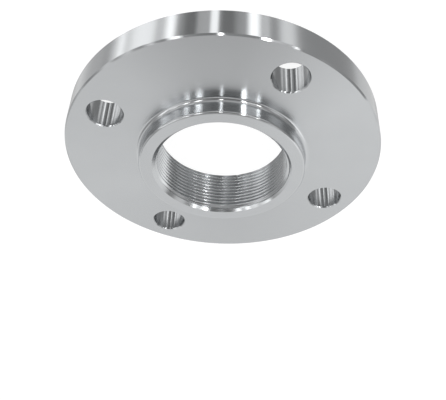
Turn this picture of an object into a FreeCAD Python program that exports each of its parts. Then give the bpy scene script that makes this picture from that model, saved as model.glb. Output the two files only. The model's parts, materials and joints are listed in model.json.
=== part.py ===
import FreeCAD, Part
import math
import os

# A threaded pipe flange for 65 mm (2 1/2 inch) pipe, turned from one round blank.
# The origin is the centre of the bore on the flat back face, where the gasket lies.
# +Z runs along the bore towards the end of the short hub. All lengths are in millimetres.

# Pipe thread: parallel, 55 degree form with rounded crests and roots, 11 turns to the inch.
# The bore is as wide as the crests of the thread, and the groove of the thread is not cut.
thread_major_diameter = 75.184
thread_pitch = 2.309
thread_depth_per_pitch = 0.640327
thread_depth = thread_depth_per_pitch * thread_pitch
bore_diameter = thread_major_diameter - 2 * thread_depth

# Entry chamfer in the hub's end, cut until it is a little wider than the thread's roots,
# and the small chamfer where the bore meets the back face.
mouth_over_thread = 1.1
mouth_chamfer_angle = 45.0
bore_back_chamfer = 0.9

# Short hub, with a fillet at its root and a rounded outer edge at its end
hub_wall = 8.408
hub_height = 9.0
hub_root_fillet = 2.5
hub_end_round = 1.2
hub_diameter = thread_major_diameter + 2 * hub_wall

# Four plain bolt holes on one circle. nut_land is the metal between the hub and a hole,
# and rim_land is the metal between a hole and the rim.
bolt_hole_count = 4
bolt_hole_diameter = 19.0
bolt_hole_edge_break = 0.5
first_bolt_hole_angle = 45.0
nut_land = 14.5
rim_land = 8.0
bolt_circle_diameter = hub_diameter + bolt_hole_diameter + 2 * nut_land

# Round plate, with both corners of its rim broken
plate_thickness = 18.0
plate_edge_chamfer = 0.8
plate_diameter = bolt_circle_diameter + bolt_hole_diameter + 2 * rim_land


def section_point(radius, height):
    """A point of the turned section, in the half plane through the axis and +X."""
    return FreeCAD.Vector(radius, 0, height)


def corner_arc(centre_radius, centre_height, arc_radius, start_angle, end_angle):
    """A quarter arc of the section, with angles in degrees from +X towards +Z."""
    points = []
    for angle in (start_angle, (start_angle + end_angle) / 2, end_angle):
        turn = math.radians(angle)
        radius = centre_radius + arc_radius * math.cos(turn)
        height = centre_height + arc_radius * math.sin(turn)
        points.append(section_point(radius, height))
    return Part.Arc(*points).toShape()


def straight(points):
    """Straight edges of the section from each point to the next."""
    return [Part.LineSegment(a, b).toShape() for a, b in zip(points, points[1:])]


def turned_section():
    """The closed section of the blank, from the back of the bore round the rim to the mouth."""
    bore = bore_diameter / 2
    rim = plate_diameter / 2
    hub = hub_diameter / 2
    mouth = thread_major_diameter / 2 + mouth_over_thread
    mouth_depth = (mouth - bore) / math.tan(math.radians(mouth_chamfer_angle))
    hub_end = plate_thickness + hub_height

    plate_edges = straight([
        section_point(bore, bore_back_chamfer),
        section_point(bore + bore_back_chamfer, 0),
        section_point(rim - plate_edge_chamfer, 0),
        section_point(rim, plate_edge_chamfer),
        section_point(rim, plate_thickness - plate_edge_chamfer),
        section_point(rim - plate_edge_chamfer, plate_thickness),
        section_point(hub + hub_root_fillet, plate_thickness),
    ])
    root_fillet = corner_arc(
        hub + hub_root_fillet, plate_thickness + hub_root_fillet, hub_root_fillet, 270, 180)
    hub_side = straight([
        section_point(hub, plate_thickness + hub_root_fillet),
        section_point(hub, hub_end - hub_end_round),
    ])
    end_round = corner_arc(hub - hub_end_round, hub_end - hub_end_round, hub_end_round, 0, 90)
    mouth_edges = straight([
        section_point(hub - hub_end_round, hub_end),
        section_point(mouth, hub_end),
        section_point(bore, hub_end - mouth_depth),
        section_point(bore, bore_back_chamfer),
    ])
    return Part.Wire(plate_edges + [root_fillet] + hub_side + [end_round] + mouth_edges)


def turned_blank():
    """The section turned once round the bore's axis."""
    face = Part.Face(turned_section())
    return face.revolve(FreeCAD.Vector(0, 0, 0), FreeCAD.Vector(0, 0, 1), 360)


def bolt_hole_cutter():
    """A drill on the Z axis through the plate, widened at both faces to break the hole's edges."""
    hole = bolt_hole_diameter / 2
    wide = hole + bolt_hole_edge_break
    outline = straight([
        section_point(0, -bolt_hole_edge_break),
        section_point(wide + bolt_hole_edge_break, -bolt_hole_edge_break),
        section_point(hole, bolt_hole_edge_break),
        section_point(hole, plate_thickness - bolt_hole_edge_break),
        section_point(wide + bolt_hole_edge_break, plate_thickness + bolt_hole_edge_break),
        section_point(0, plate_thickness + bolt_hole_edge_break),
        section_point(0, -bolt_hole_edge_break),
    ])
    face = Part.Face(Part.Wire(outline))
    return face.revolve(FreeCAD.Vector(0, 0, 0), FreeCAD.Vector(0, 0, 1), 360)


def drill_bolt_holes(blank):
    """The blank with its bolt holes, spaced evenly round the bolt circle."""
    cutter = bolt_hole_cutter()
    centre = section_point(bolt_circle_diameter / 2, 0)
    cutters = []
    for number in range(bolt_hole_count):
        drill = cutter.copy()
        drill.translate(centre)
        angle = first_bolt_hole_angle + number * 360 / bolt_hole_count
        drill.rotate(FreeCAD.Vector(0, 0, 0), FreeCAD.Vector(0, 0, 1), angle)
        cutters.append(drill)
    return blank.cut(cutters)


def main():
    flange = drill_bolt_holes(turned_blank())
    solid = flange.Solids[0]
    os.makedirs("parts", exist_ok=True)
    solid.exportStep("parts/flange.step")
    box = solid.BoundBox
    print("valid", solid.isValid(), "solids", len(flange.Solids))
    print("size", round(box.XLength, 3), round(box.YLength, 3), round(box.ZLength, 3))
    print("volume in cubic centimetres", round(solid.Volume / 1000, 2))


main()
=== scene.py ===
"""A threaded pipe flange in bright turned steel, in a plain studio.

The flange is one closed mesh: a turned plate and hub, four drilled bolt holes and a helical pipe
thread, each worked out as a surface of two parameters.
"""
import json
import math

import bmesh
import bpy
import numpy as np
from bpy.props import FloatProperty, FloatVectorProperty, IntProperty, PointerProperty
from mathutils import Matrix, Vector


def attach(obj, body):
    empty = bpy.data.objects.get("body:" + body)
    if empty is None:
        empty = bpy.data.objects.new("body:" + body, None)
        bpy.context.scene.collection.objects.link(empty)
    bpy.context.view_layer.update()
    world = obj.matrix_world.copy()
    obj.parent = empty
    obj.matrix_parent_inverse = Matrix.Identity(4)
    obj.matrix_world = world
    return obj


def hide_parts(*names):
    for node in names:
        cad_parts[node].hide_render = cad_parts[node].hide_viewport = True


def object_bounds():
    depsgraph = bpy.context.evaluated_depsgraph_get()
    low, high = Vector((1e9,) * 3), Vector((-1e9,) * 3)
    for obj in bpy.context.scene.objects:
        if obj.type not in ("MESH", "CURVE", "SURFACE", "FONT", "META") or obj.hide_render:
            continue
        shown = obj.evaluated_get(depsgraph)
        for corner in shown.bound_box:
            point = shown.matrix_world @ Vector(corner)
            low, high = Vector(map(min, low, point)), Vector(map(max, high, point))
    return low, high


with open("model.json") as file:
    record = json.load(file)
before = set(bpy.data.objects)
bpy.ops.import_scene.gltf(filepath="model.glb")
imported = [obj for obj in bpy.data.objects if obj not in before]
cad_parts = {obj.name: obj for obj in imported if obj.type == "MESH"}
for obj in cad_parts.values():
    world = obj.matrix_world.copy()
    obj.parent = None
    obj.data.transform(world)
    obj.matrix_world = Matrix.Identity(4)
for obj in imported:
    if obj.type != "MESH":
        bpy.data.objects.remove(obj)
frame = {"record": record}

bl_info = {
    "name": "Threaded pipe flange",
    "version": (1, 0, 0),
    "blender": (4, 5, 0),
    "location": "View3D > Sidebar > Flange",
    "description": "Builds a turned steel pipe flange with bolt holes and a thread, and a studio",
    "category": "Add Mesh",
}

# What the frame says: the box of the solid and the sizes of its mounts
MM = 0.001
NODE = "flange"
CAD_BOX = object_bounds()
MOUNTS = {mount["name"]: mount for mount in frame["record"]["mounts"]}
PLATE_RADIUS = CAD_BOX[1].x
TOTAL_HEIGHT = CAD_BOX[1].z
PLATE_THICKNESS = MOUNTS["nut_face"]["pos_m"][2]
CREST_RADIUS = MOUNTS["pipe_thread"]["dims"]["r_mm"] * MM
BOLT_CIRCLE_RADIUS = MOUNTS["bolt_circle"]["dims"]["pcd_mm"] * MM / 2
BOLT_HOLE_RADIUS = MOUNTS["bolt_circle"]["dims"]["hole_r_mm"] * MM
BOLT_HOLE_COUNT = MOUNTS["bolt_circle"]["dims"]["count"]

# The standard 55 degree thread form: its depth and the radius of its crests and roots, as shares of
# the pitch, and how far a crest turns to each side before the flank, in degrees
THREAD_DEPTH = 0.640327
THREAD_ROUND = 0.137329
FLANK_TURN = 62.5

# The steel's pattern: faint clouds, how far they change its colour, how far they and the tool's marks
# change its polish, and the quarter turn that lets the light spread across the marks
CLOUD_SCALE = 60
CLOUD_DETAIL = 3
COLOUR_SPREAD = 0.03
POLISH_SPREAD = 0.12
GRAIN_TURN = 0.25


def length(name, description, millimetres):
    """A length that a user may change."""
    return FloatProperty(name=name, description=description, default=millimetres * MM,
                         min=0, precision=5, unit="LENGTH", subtype="DISTANCE")


def share(name, description, default):
    """A number between nothing and all."""
    return FloatProperty(name=name, description=description, default=default,
                         min=0, max=1, subtype="FACTOR")


def turn(name, description, degrees):
    """An angle that a user may change."""
    return FloatProperty(name=name, description=description, default=math.radians(degrees),
                         unit="ROTATION", subtype="ANGLE")


def level(name, description, default):
    """How bright a light is, where 1 is white."""
    return FloatProperty(name=name, description=description, default=default, min=0)


def count(name, description, default, least):
    """A number of the mesh's faces."""
    return IntProperty(name=name, description=description, default=default, min=least)


class FlangeSizes(bpy.types.PropertyGroup):
    """Sizes of the turned edges and the thread, and how finely the mesh is divided."""
    hub_diameter: length("Hub diameter", "Across the hub's straight side", 92)
    hub_root_fillet: length("Hub root fillet", "Radius where the hub meets the plate", 2.5)
    hub_end_round: length("Hub end round", "Radius of the hub's outer edge", 1.2)
    plate_edge_chamfer: length("Plate edge chamfer", "Chamfer on both corners of the rim", 0.8)
    hole_edge_break: length("Hole edge break", "Chamfer at both ends of a bolt hole", 0.5)
    mouth_over_thread: length("Mouth over thread", "How far the mouth opens past the roots", 1.1)
    bore_back_chamfer: length("Back chamfer", "Chamfer where the bore meets the back face", 0.9)
    thread_pitch: length("Thread pitch", "From one turn of the thread to the next", 2.309)
    guard_ring: length("Guard ring", "Ring that keeps a flat surface's shading flat beside a round", 0.4)
    first_hole: turn("First bolt hole", "Angle of the first bolt hole from +X", 45)
    columns: count("Columns", "Faces once round the flange, a multiple of 4", 360, 48)
    arc_steps: count("Arc steps", "Faces across a rounded edge", 10, 2)
    thread_steps: count("Thread steps", "Faces across half a crest or root of the thread", 3, 1)
    side_steps: count("Side steps", "Faces across the plate, midway between two bolt holes", 12, 2)


class FlangeFinish(bpy.types.PropertyGroup):
    """Colour and polish of the steel."""
    steel: FloatVectorProperty(name="Steel", description="Colour of the bare steel", subtype="COLOR",
                               default=(0.595, 0.609, 0.62), min=0, max=1)
    face_roughness: share("Face roughness", "How dull the flat turned faces are", 0.185)
    side_roughness: share("Side roughness", "How dull the rim and the hub's side are", 0.13)
    thread_roughness: share("Thread roughness", "How dull the thread is", 0.2)
    hole_roughness: share("Hole roughness", "How dull the drilled walls are", 0.16)
    # Darkens the drilled walls' colour: partly the duller drilled steel, partly painted shade in place of
    # the darker things the walls mirror
    hole_tone_and_shade: share("Hole tone", "How bright the drilled walls are beside the turned steel", 0.75)
    grain: share("Grain", "How much more the light spreads across the tool marks than along them", 1.0)
    thread_grain: share("Thread grain", "The same for the thread, whose marks are finer", 0.65)
    mark_pitch: length("Tool mark pitch", "Distance between the cutting tool's marks", 0.3)
    mark_depth: length("Tool mark depth", "Depth of the cutting tool's marks", 0.0008)


class StageSettings(bpy.types.PropertyGroup):
    """The camera, the floor and the studio's light."""
    camera_azimuth: turn("Camera azimuth", "Where the camera stands, turned from the front", -18.02)
    camera_elevation: turn("Camera elevation", "How far the camera stands above the floor", 42.556)
    camera_distance: length("Camera distance", "From the camera to the back face's middle", 388.48)
    camera_roll: turn("Camera roll", "Turn of the camera about its line of sight", 177.553)
    aim_x: length("Aim across", "Point of the floor in the middle of the picture", 17.50)
    aim_y: length("Aim along", "Point of the floor in the middle of the picture", 59.89)
    lens: FloatProperty(name="Lens", description="Focal length of the camera, in millimetres",
                        default=54.019, min=1)
    floor_size: length("Floor size", "Side of the square floor", 6000)
    floor_drop: length("Floor drop", "Gap between the back face and the floor", 0.1)
    floor_white: level("Floor white", "What the camera sees of the floor, without the light on it", 0.9)
    floor_shade: level("Floor shade", "Share of the light on the floor that the camera sees", 0.25)
    back_level: level("Back light", "Level of the wall behind the flange", 0.9)
    front_level: level("Front light", "Level of the dark side of the studio, behind the camera", 0.35)
    ceiling_level: level("Ceiling", "Level of the ceiling between its lights", 0.16)
    overhead_level: level("Overhead light", "Level of the lights overhead and high at both sides", 0.75)
    card_lean: share("Card lean", "Degrees that a card leans for each degree of height", 0.076)


# Upright cards and dark flags, which the steel mirrors as streaks. Those below the horizon have the
# degrees round from the camera, half the width, the width of the soft edge, and the level. Those above
# it have their lowest and highest elevation before the level. Later ones lie over earlier ones.
CARDS_BELOW = (
    (-168, 14, 8, 0.52), (161, 19, 12, 0.63), (-130, 12, 8, 0.73), (-107, 3, 4, 0.38),
    (106, 5, 6, 0.55), (61.5, 8.5, 4, 1.35), (74.2, 0.5, 3, 0.8), (81.5, 2.2, 3, 1.9),
    (87.5, 0.8, 5, 0.72), (46, 2, 3, 0.72), (39.2, 2, 3, 1.9), (24, 3, 4, 0.21),
    (14.5, 3, 3.5, 0.56), (6.3, 1.6, 2.8, 1.5), (-3.8, 2.5, 4, 0.24), (-14, 1, 4, 0.44),
    (-23.3, 2.2, 4, 1.9), (-32.8, 1, 2.5, 0.9), (-49.5, 4, 5, 1.05),
)
CARDS_ABOVE = (
    (20, 60, 16, -15, 22, 0.58), (-178, 3, 12, 30, 90, 0.82), (178, 20, 10, 30, 90, 0.83),
    (-118, 19, 4, -20, 90, 0.95), (-124, 11, 3.5, 34, 90, 1.5), (-101, 8, 5, 30, 90, 0.22),
    (-73, 7, 7, 30, 90, 0.84), (-35, 6, 5, 34, 54, 1.5), (-44.6, 0.7, 1.4, 34, 47, 10),
    (-23, 0.9, 2.8, 31, 52, 16), (7.5, 0.6, 1.4, 30, 46, 8.5), (17, 4, 4, 25, 90, 0.29),
    (39, 2.7, 2.8, 34, 54, 5.5), (56.6, 2, 2.4, 34, 47, 4.7), (70.5, 3, 3, 26, 90, 1.6),
    (83.5, 2.5, 3, 20, 90, 1.2), (92.5, 2.6, 3, 28, 90, 2.3), (118, 14, 8, 6, 24, 0.8),
    (118, 14, 8, 24, 90, 0.5), (128, 13, 9, 24, 90, 0.35), (0, 19, 6, 43, 90, 0.13),
    (-42, 10, 4, 46, 90, 0.95), (50, 15, 6, 46, 90, 1),
)

# Where the studio's parts fade in or out, in degrees round from the camera or above the horizon
CARD_END_FADE = 8
BACK_WALL_FADE = (98, 140)
HORIZON_FADE = (-15, 15)
CEILING_FADE = (48, 62)
OVERHEAD_FADE = (71, 84)
SIDE_LIGHT_START = (78, 102)
SIDE_LIGHT_END = (165, 138)

WHITE = (1, 1, 1)


class Value:
    """A number that varies over a surface or a sky. Arithmetic on it adds Math nodes."""

    def __init__(self, graph, socket):
        self.graph = graph
        self.socket = socket

    def math(self, operation, *values):
        """One Math node on these values."""
        return self.graph.add("ShaderNodeMath", dict(enumerate(values)), operation=operation)

    def __add__(self, other):
        return self.math("ADD", self, other)

    def __radd__(self, other):
        return self.math("ADD", other, self)

    def __sub__(self, other):
        return self.math("SUBTRACT", self, other)

    def __rsub__(self, other):
        return self.math("SUBTRACT", other, self)

    def __mul__(self, other):
        return self.math("MULTIPLY", self, other)

    def __rmul__(self, other):
        return self.math("MULTIPLY", other, self)

    def __pow__(self, other):
        return self.math("POWER", self, other)

    def __neg__(self):
        return self.math("MULTIPLY", self, -1.0)

    def __abs__(self):
        return self.math("ABSOLUTE", self)

    def step(self, low, high):
        """0 at low and 1 at high, with a smooth climb between."""
        inputs = {"Value": self, "From Min": low, "From Max": high}
        return self.graph.add("ShaderNodeMapRange", inputs, interpolation_type="SMOOTHSTEP")

    def fade_to(self, other, share):
        """This value where share is 0 and the other where it is 1."""
        return self + (other - self) * share


class Graph:
    """The nodes of one material or world."""

    def __init__(self, tree):
        self.tree = tree
        tree.nodes.clear()

    def add(self, kind, inputs=None, output=0, **settings):
        """One node: its settings are made first, then the values or links of its sockets."""
        node = self.tree.nodes.new(kind)
        for name, value in settings.items():
            setattr(node, name, value)
        for name, value in (inputs or {}).items():
            if isinstance(value, Value):
                self.tree.links.new(value.socket, node.inputs[name])
            else:
                node.inputs[name].default_value = value
        return Value(self, node.outputs[output]) if node.outputs else None

    def split(self, vector):
        """The x, y and z of a vector."""
        parts = self.add("ShaderNodeSeparateXYZ", {"Vector": vector}).socket.node
        return [Value(self, socket) for socket in parts.outputs]

    def mix(self, factor, first, second):
        """A colour between two colours."""
        return self.add("ShaderNodeMix", {0: factor, 6: first, 7: second}, output=2, data_type="RGBA")

    def line_noise(self, along, scale, detail):
        """Smooth random values from 0 to 1 along a line."""
        inputs = {"W": along, "Scale": scale, "Detail": detail}
        return self.add("ShaderNodeTexNoise", inputs, noise_dimensions="1D")

    def cloud(self, place, scale, detail):
        """Smooth random values from 0 to 1 over a position."""
        return self.add("ShaderNodeTexNoise", {"Vector": place, "Scale": scale, "Detail": detail})


def shaded(colour, factor):
    """A colour made darker or lighter, with its alpha."""
    return (*[min(1, channel * factor) for channel in colour], 1)


def steel_material(name, tone_and_shade, roughness, grain, tool_marks, mark_depth):
    """Bare steel fresh from a cutting tool. tool_marks gives the pattern of the tool's marks from the
    distance to the axis and the height. The light spreads more across the marks than along them."""
    steel = bpy.context.scene.flange_finish.steel
    material = bpy.data.materials.new(name)
    material.use_nodes = True
    graph = Graph(material.node_tree)
    place = graph.add("ShaderNodeTexCoord", output="Object")
    x, y, height = graph.split(place)
    marks = tool_marks(graph, (x * x + y * y) ** 0.5, height)
    clouds = graph.cloud(place, CLOUD_SCALE, CLOUD_DETAIL)
    # This scaling darkens the drilled walls: partly the duller drilled steel, partly painted shade in
    # place of the darker things they mirror
    darker, lighter = (1 - COLOUR_SPREAD) * tone_and_shade, (1 + COLOUR_SPREAD) * tone_and_shade
    colour = graph.mix(clouds, shaded(steel, darker), shaded(steel, lighter))
    bump = graph.add("ShaderNodeBump", {"Height": marks, "Distance": mark_depth})
    shader = graph.add("ShaderNodeBsdfPrincipled", {
        "Base Color": colour,
        "Metallic": 1.0,
        "Roughness": roughness * (1 - POLISH_SPREAD + POLISH_SPREAD * (clouds + marks)),
        "Anisotropic": grain,
        "Anisotropic Rotation": GRAIN_TURN,
        "Normal": bump,
    })
    graph.add("ShaderNodeOutputMaterial", {"Surface": shader})
    return material


def lathe_marks(graph, radius, height):
    """Rings round the axis, on flat, sloped and upright surfaces alike."""
    slant, detail = 1.37, 2
    pitch = bpy.context.scene.flange_finish.mark_pitch
    return graph.line_noise(radius + slant * height, 1 / pitch, detail)


def drill_marks(graph, radius, height):
    """Rings down the wall of a hole, wider apart than the lathe's."""
    spread, detail = 2.5, 3
    pitch = bpy.context.scene.flange_finish.mark_pitch
    return graph.line_noise(height, 1 / (spread * pitch), detail)


def arc(radius, height, size, start, end, steps):
    """A round stretch of a section: points at equal angles on a circle about (radius, height)."""
    angle = np.radians(np.linspace(start, end, steps + 1))
    return np.stack([radius + size * np.cos(angle), height + size * np.sin(angle)], axis=1)


def column_angles(sizes):
    """The angles of the mesh's columns. They start midway between two bolt holes."""
    start = sizes.first_hole - math.pi / BOLT_HOLE_COUNT
    return start + np.linspace(0, 2 * math.pi, sizes.columns, endpoint=False)


def revolved(section, angles):
    """A section of (r, h) points carried once round the axis: x = r cos a, y = r sin a, z = h."""
    radius, height = np.array(section, float).T[:, :, None]
    return np.stack([radius * np.cos(angles), radius * np.sin(angles), height + 0 * angles], axis=2)


def rim_section(sizes):
    """The plate's outer edge from the back face to the front face, with both corners chamfered."""
    inner = PLATE_RADIUS - sizes.plate_edge_chamfer
    return [
        (inner, 0),
        (PLATE_RADIUS, sizes.plate_edge_chamfer),
        (PLATE_RADIUS, PLATE_THICKNESS - sizes.plate_edge_chamfer),
        (inner, PLATE_THICKNESS),
    ]


def hub_section(sizes):
    """The hub from the plate's front face to the bore's mouth: fillet, side, round and end face."""
    hub = sizes.hub_diameter / 2
    fillet, end, guard = sizes.hub_root_fillet, sizes.hub_end_round, sizes.guard_ring
    foot = arc(hub + fillet, PLATE_THICKNESS + fillet, fillet, 270, 180, sizes.arc_steps)
    top = arc(hub - end, TOTAL_HEIGHT - end, end, 0, 90, sizes.arc_steps)
    return np.concatenate([
        [(foot_radius(sizes), PLATE_THICKNESS)],
        foot,
        [(hub, PLATE_THICKNESS + fillet + guard), (hub, TOTAL_HEIGHT - end - guard)],
        top,
        [(hub - end - guard, TOTAL_HEIGHT), (mouth_radius(sizes), TOTAL_HEIGHT)],
    ])


def foot_radius(sizes):
    """Where the plate's flat front face ends, a guard ring away from the hub's fillet."""
    return sizes.hub_diameter / 2 + sizes.hub_root_fillet + sizes.guard_ring


def mouth_radius(sizes):
    """The bore's radius at the hub's end."""
    return CREST_RADIUS + THREAD_DEPTH * sizes.thread_pitch + sizes.mouth_over_thread


def thread_profile(sizes):
    """One turn of the thread from root to root, as distances along the bore and depths below the
    crest. The crests and roots are arcs of 0.137 of the pitch that turn through 62.5 degrees to
    each side, and the flanks between them are straight."""
    pitch = sizes.thread_pitch
    size, depth = THREAD_ROUND * pitch, THREAD_DEPTH * pitch
    angle = np.radians(np.linspace(-FLANK_TURN, FLANK_TURN, 2 * sizes.thread_steps + 1))
    along, sagging = size * np.sin(angle), size * (1 - np.cos(angle))
    middle = sizes.thread_steps
    return np.concatenate([
        np.stack([along[middle:] - pitch / 2, depth - sagging[middle:]], axis=1),
        np.stack([along, sagging], axis=1),
        np.stack([along[:middle + 1] + pitch / 2, depth - sagging[:middle + 1]], axis=1),
    ])


def bore_radius(sizes, profile, height, turned):
    """The bore's radius at a height and a share of a turn: the thread's at z - pitch * turn, or that
    of the chamfer at either end where it is wider. Both chamfers are at 45 degrees."""
    along, depth = profile.T
    pitch = sizes.thread_pitch
    thread = CREST_RADIUS + np.interp(height - pitch * turned, along, depth, period=pitch)
    mouth = mouth_radius(sizes) - (TOTAL_HEIGHT - height)
    back = CREST_RADIUS + sizes.bore_back_chamfer - height
    return np.maximum(thread, np.maximum(mouth, back))


def threaded_bore(sizes, angles):
    """The bore as rows that climb by one pitch in a turn, so that each crest and root is one line of
    the mesh: z = s + pitch * a / 2 pi, held between the two ends of the bore. The last column is the
    first one again, one turn of the thread further along."""
    pitch = sizes.thread_pitch
    profile = thread_profile(sizes)
    turns = np.arange(-1, math.ceil(TOTAL_HEIGHT / pitch) + 1)
    along = (profile[:-1, 0] + pitch * turns[:, None]).ravel()
    turned = np.linspace(0, 1, len(angles) + 1)
    height = np.clip(along[:, None] + pitch * turned, 0, TOTAL_HEIGHT)
    radius = bore_radius(sizes, profile, height, turned)
    around = np.append(angles, angles[0])
    return np.stack([radius * np.cos(around), radius * np.sin(around), height], axis=2)


def sector_outline(angles, side_steps, inner, outer, height):
    """The edge of each bolt hole's own sector of a flat face: along the outer radius, in along the
    line midway to the next hole, back along the inner radius and out again. inner has a radius for
    each column. The rows of the result are the sectors."""
    quarter = len(angles) // BOLT_HOLE_COUNT
    ahead = np.arange(quarter + 1)
    across = np.arange(1, side_steps)
    column = np.concatenate([ahead, 0 * across + quarter, ahead[::-1], 0 * across])
    inward = np.concatenate([0 * ahead, across / side_steps, 0 * ahead + 1, 1 - across / side_steps])
    column = (column + quarter * np.arange(BOLT_HOLE_COUNT)[:, None]) % len(angles)
    radius = outer + (inner[column] - outer) * inward
    angle = angles[column]
    return np.stack([radius * np.cos(angle), radius * np.sin(angle), height + 0 * angle], axis=2)


def drilled_plate(sizes, angles):
    """The plate's two flat faces and its bolt holes, as rows of closed loops: from the sector's edge
    on the front face straight to the hole's edge, down the hole's wall, and out to the sector's edge
    on the back face. A loop round the hole is x = cx + r cos d, y = cy + r sin d, where d is the
    direction from the hole's centre to the sector's edge."""
    outer = PLATE_RADIUS - sizes.plate_edge_chamfer
    front = sector_outline(angles, sizes.side_steps, np.full(len(angles), foot_radius(sizes)),
                           outer, PLATE_THICKNESS)
    turned = np.arange(len(angles)) / len(angles)
    back_edge = bore_radius(sizes, thread_profile(sizes), 0 * turned, turned)
    back = sector_outline(angles, sizes.side_steps, back_edge, outer, 0)

    hole_angle = sizes.first_hole + 2 * math.pi * np.arange(BOLT_HOLE_COUNT) / BOLT_HOLE_COUNT
    centre = BOLT_CIRCLE_RADIUS * np.stack([np.cos(hole_angle), np.sin(hole_angle)], axis=1)[:, None]
    across, along = (front[..., :2] - centre).transpose(2, 0, 1)
    direction = np.arctan2(along, across)
    spoke = np.stack([np.cos(direction), np.sin(direction)], axis=2)
    widened = BOLT_HOLE_RADIUS + sizes.hole_edge_break
    rings = [
        (widened, PLATE_THICKNESS),
        (BOLT_HOLE_RADIUS, PLATE_THICKNESS - sizes.hole_edge_break),
        (BOLT_HOLE_RADIUS, sizes.hole_edge_break),
        (widened, 0),
    ]
    walls = [np.dstack([centre + radius * spoke, height + 0 * direction]) for radius, height in rings]
    return np.array([front, *walls, back])


def quads(rows, columns, closed):
    """The corner numbers of a grid's faces. The last column of a closed grid joins the first."""
    number = np.arange(rows * columns).reshape(rows, columns)
    if closed:
        number = np.concatenate([number, number[:, :1]], axis=1)
    corners = [number[:-1, :-1], number[:-1, 1:], number[1:, 1:], number[1:, :-1]]
    return np.stack(corners, axis=2).reshape(-1, 4)


def joined_mesh(name, patches, materials):
    """One mesh of all the patches, which meet edge to edge. A patch is its grid of points, whether
    the grid closes on itself, and the number of its material."""
    weld = 2e-6
    sharp_from = 32
    points, faces, slots, start = [], [], [], 0
    for grid, closed, slot in patches:
        corners = quads(*grid.shape[:2], closed)
        points.append(grid.reshape(-1, 3))
        faces.append(corners + start)
        slots.append(np.full(len(corners), slot, np.int32))
        start += len(points[-1])
    mesh = bpy.data.meshes.new(name)
    mesh.from_pydata(np.concatenate(points), [], np.concatenate(faces))
    mesh.polygons.foreach_set("material_index", np.concatenate(slots))
    form = bmesh.new()
    form.from_mesh(mesh)
    bmesh.ops.remove_doubles(form, verts=form.verts, dist=weld)
    bmesh.ops.recalc_face_normals(form, faces=form.faces)
    form.to_mesh(mesh)
    form.free()
    for material in materials:
        mesh.materials.append(material)
    mesh.shade_smooth()
    mesh.set_sharp_from_angle(angle=math.radians(sharp_from))
    return mesh


class FLANGE_OT_flange(bpy.types.Operator):
    """Builds the flange with its hub, bolt holes and thread"""
    bl_idname = "flange.flange"
    bl_label = "Flange"

    def execute(self, context):
        sizes, finish = context.scene.flange_sizes, context.scene.flange_finish
        angles = column_angles(sizes)
        plate = drilled_plate(sizes, angles)
        faces, sides, thread, holes = range(4)
        patches = [
            (revolved(rim_section(sizes), angles), True, sides),
            (revolved(hub_section(sizes), angles), True, sides),
            (threaded_bore(sizes, angles), False, thread),
        ]
        for number in range(BOLT_HOLE_COUNT):
            patches += [
                (plate[:2, number], True, faces),
                (plate[1:5, number], True, holes),
                (plate[4:, number], True, faces),
            ]
        grain, depth = finish.grain, finish.mark_depth
        # The drilled walls' darker colour is partly duller drilled steel and partly painted shade
        hole_tone_and_shade, hole_roughness = finish.hole_tone_and_shade, finish.hole_roughness
        materials = [
            steel_material("turned_faces", 1, finish.face_roughness, grain, lathe_marks, depth),
            steel_material("turned_sides", 1, finish.side_roughness, grain, lathe_marks, depth),
            steel_material("cut_thread", 1, finish.thread_roughness, finish.thread_grain, lathe_marks, 0),
            steel_material("drilled_walls", hole_tone_and_shade, hole_roughness, grain, drill_marks, depth),
        ]
        mesh = joined_mesh("turned_flange", patches, materials)
        flange = bpy.data.objects.new("turned_flange", mesh)
        context.scene.collection.objects.link(flange)
        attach(flange, "root")
        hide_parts(NODE)
        return {"FINISHED"}


def card_shape(around, middle, half_width, edge):
    """1 on an upright card and 0 beside it, with a soft edge between."""
    return 1 - abs(around - middle).step(half_width, half_width + edge)


def studio_level(graph, stage):
    """How bright the studio is in each direction: a pale wall behind the flange, a darker side
    behind the camera, the cards, which stand upright but for a slight lean, and the ceiling."""
    x, y, z = graph.split(graph.add("ShaderNodeTexCoord", output="Generated"))
    to_degrees = 180 / math.pi
    around = x.math("ARCTAN2", x, -y) - stage.camera_azimuth
    around = to_degrees * x.math("WRAP", around, math.pi, -math.pi)
    elevation = to_degrees * x.math("ARCSINE", z)
    around = around + stage.card_lean * elevation
    behind = abs(around).step(*BACK_WALL_FADE)
    wall = stage.front_level + (stage.back_level - stage.front_level) * behind
    below, above = wall, wall
    for middle, half_width, edge, brightness in CARDS_BELOW:
        below = below.fade_to(brightness, card_shape(around, middle, half_width, edge))
    for middle, half_width, edge, foot, top, brightness in CARDS_ABOVE:
        risen = elevation.step(foot, foot + CARD_END_FADE)
        shown = card_shape(around, middle, half_width, edge) * risen
        above = above.fade_to(brightness, shown * elevation.step(top + CARD_END_FADE, top))
    sides = abs(around).step(*SIDE_LIGHT_START) * abs(around).step(*SIDE_LIGHT_END)
    softbox = elevation.math("MAXIMUM", elevation.step(*OVERHEAD_FADE), sides)
    ceiling = stage.ceiling_level + (stage.overhead_level - stage.ceiling_level) * softbox
    studio = below.fade_to(above, elevation.step(*HORIZON_FADE))
    return studio.fade_to(ceiling, elevation.step(*CEILING_FADE))


def studio_world(stage):
    """The studio as a sky. The camera itself sees plain white."""
    world = bpy.data.worlds.new("studio")
    world.use_nodes = True
    graph = Graph(world.node_tree)
    camera_ray = graph.add("ShaderNodeLightPath", output="Is Camera Ray")
    light = studio_level(graph, stage).fade_to(1.0, camera_ray)
    background = graph.add("ShaderNodeBackground", {"Color": shaded(WHITE, 1), "Strength": light})
    graph.add("ShaderNodeOutputWorld", {"Surface": background})
    return world


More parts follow.
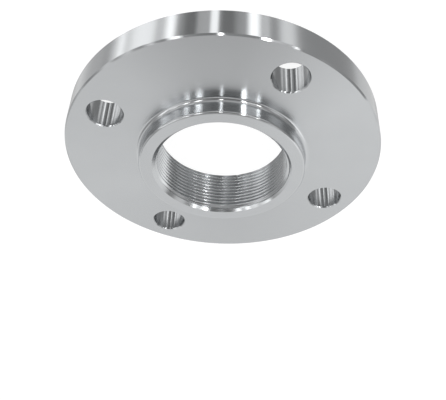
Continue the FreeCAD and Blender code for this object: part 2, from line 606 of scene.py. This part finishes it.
def studio_floor(stage):
    """A square pale floor. It takes the flange's shadow, and the steel mirrors the studio instead."""
    half = stage.floor_size / 2
    corners = [(-half, -half), (half, -half), (half, half), (-half, half)]
    mesh = bpy.data.meshes.new("floor")
    mesh.from_pydata([(x, y, -stage.floor_drop) for x, y in corners], [], [(0, 1, 2, 3)])
    material = bpy.data.materials.new("floor")
    material.use_nodes = True
    graph = Graph(material.node_tree)
    camera_ray = graph.add("ShaderNodeLightPath", output="Is Camera Ray")
    shader = graph.add("ShaderNodeBsdfPrincipled", {
        "Base Color": shaded(WHITE, stage.floor_shade),
        "Roughness": 1.0,
        "Specular IOR Level": 0.0,
        "Emission Color": camera_ray,
        "Emission Strength": stage.floor_white,
    })
    graph.add("ShaderNodeOutputMaterial", {"Surface": shader})
    mesh.materials.append(material)
    floor = bpy.data.objects.new("floor", mesh)
    floor.visible_glossy = False
    floor.visible_shadow = False
    return floor


def studio_camera(stage):
    """A camera on a sphere about the back face's middle, aimed at a point of the floor."""
    azimuth, elevation = stage.camera_azimuth, stage.camera_elevation
    place = stage.camera_distance * Vector((
        math.sin(azimuth) * math.cos(elevation),
        -math.cos(azimuth) * math.cos(elevation),
        math.sin(elevation),
    ))
    forward = (Vector((stage.aim_x, stage.aim_y, 0)) - place).normalized()
    level_right = forward.cross(Vector((0, 0, 1))).normalized()
    level_up = level_right.cross(forward)
    up = math.cos(stage.camera_roll) * level_up + math.sin(stage.camera_roll) * level_right
    data = bpy.data.cameras.new("camera")
    data.lens = stage.lens
    data.clip_start = 0.01
    camera = bpy.data.objects.new("camera", data)
    axes = Matrix((forward.cross(up), up, -forward)).transposed()
    camera.matrix_world = Matrix.Translation(place) @ axes.to_4x4()
    return camera


class FLANGE_OT_stage(bpy.types.Operator):
    """Builds the camera, the floor and the studio's light"""
    bl_idname = "flange.stage"
    bl_label = "Studio"

    def execute(self, context):
        scene, stage = context.scene, context.scene.flange_stage
        floor = studio_floor(stage)
        scene.collection.objects.link(floor)
        camera = studio_camera(stage)
        scene.collection.objects.link(camera)
        scene.camera = camera
        scene.world = studio_world(stage)
        scene.view_settings.view_transform = "Standard"
        return {"FINISHED"}


class FLANGE_PT_sidebar(bpy.types.Panel):
    """Lists what the add-on builds, with the sizes and finishes that can be changed first"""
    bl_label = "Pipe flange"
    bl_space_type = "VIEW_3D"
    bl_region_type = "UI"
    bl_category = "Flange"

    def draw(self, context):
        for group, kind in SETTINGS.items():
            box = self.layout.box()
            for name in kind.__annotations__:
                box.prop(getattr(context.scene, group), name)
        for operator in OPERATORS:
            self.layout.operator(operator.bl_idname)


SETTINGS = {"flange_sizes": FlangeSizes, "flange_finish": FlangeFinish, "flange_stage": StageSettings}
OPERATORS = (FLANGE_OT_flange, FLANGE_OT_stage)
CLASSES = (*SETTINGS.values(), *OPERATORS, FLANGE_PT_sidebar)


def register():
    """Adds the settings, the operators and the sidebar panel."""
    for kind in CLASSES:
        bpy.utils.register_class(kind)
    for name, kind in SETTINGS.items():
        setattr(bpy.types.Scene, name, PointerProperty(type=kind))


def unregister():
    """Takes them away again."""
    for name in SETTINGS:
        delattr(bpy.types.Scene, name)
    for kind in reversed(CLASSES):
        bpy.utils.unregister_class(kind)


def main():
    """Builds the flange and the studio."""
    register()
    bpy.ops.flange.flange()
    bpy.ops.flange.stage()


if __name__ == "__main__":
    main()
